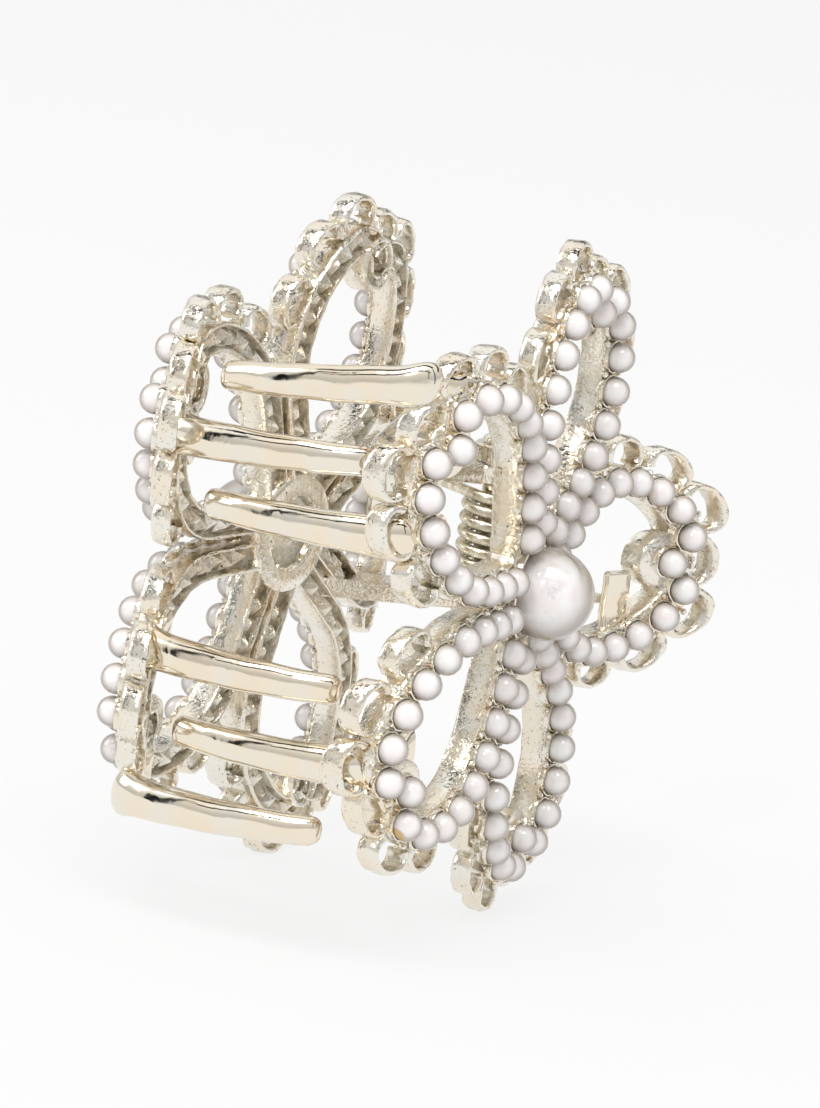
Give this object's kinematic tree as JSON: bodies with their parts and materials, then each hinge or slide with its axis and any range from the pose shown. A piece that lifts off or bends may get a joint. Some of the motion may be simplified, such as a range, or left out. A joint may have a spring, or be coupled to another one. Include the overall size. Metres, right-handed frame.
{
  "type": "claw hair clip",
  "caption": "Metal claw hair clip: two openwork blossom plates edged with pearls, interlocking teeth and a sprung hinge at the lever petals.",
  "frame": {"origin": "middle of the footprint, at the level of the lowest loops, with the hinge pin upright", "axes": "+Z along the hinge pin, +Y towards the lever petals (the teeth are on the -Y side), +X out of the right plate's pearl face"},
  "size_m": [0.043, 0.066, 0.069],
  "materials": {
    "cast_metal": "polished pale champagne-silver plating",
    "pearl": "white pearlescent",
    "pin_metal": "polished plating",
    "spring_wire": "drawn bright wire"
  },
  "bodies": {
    "left_half": {"left_casting": "cast_metal", "left_centre_pearl": "pearl", "hinge_pin": "pin_metal", "torsion_spring": "spring_wire", "left_lever_pearls": "pearl", "left_upper_back_pearls": "pearl", "left_upper_jaw_pearls": "pearl", "left_lower_jaw_pearls": "pearl", "left_lower_back_pearls": "pearl"},
    "right_half": {"right_casting": "cast_metal", "right_centre_pearl": "pearl", "right_lever_pearls": "pearl", "right_upper_back_pearls": "pearl", "right_upper_jaw_pearls": "pearl", "right_lower_jaw_pearls": "pearl", "right_lower_back_pearls": "pearl"}
  },
  "joints": [
    {"name": "jaw_hinge", "type": "hinge", "parent": "left_half", "child": "right_half", "pos_m": [0, 0.01897, 0.03449], "axis": [0, 0, 1], "range_deg": [0, 60], "stiffness_Nm_per_rad": 0.09, "springref_deg": -40.11, "deforming": ["torsion_spring"]}
  ]
}
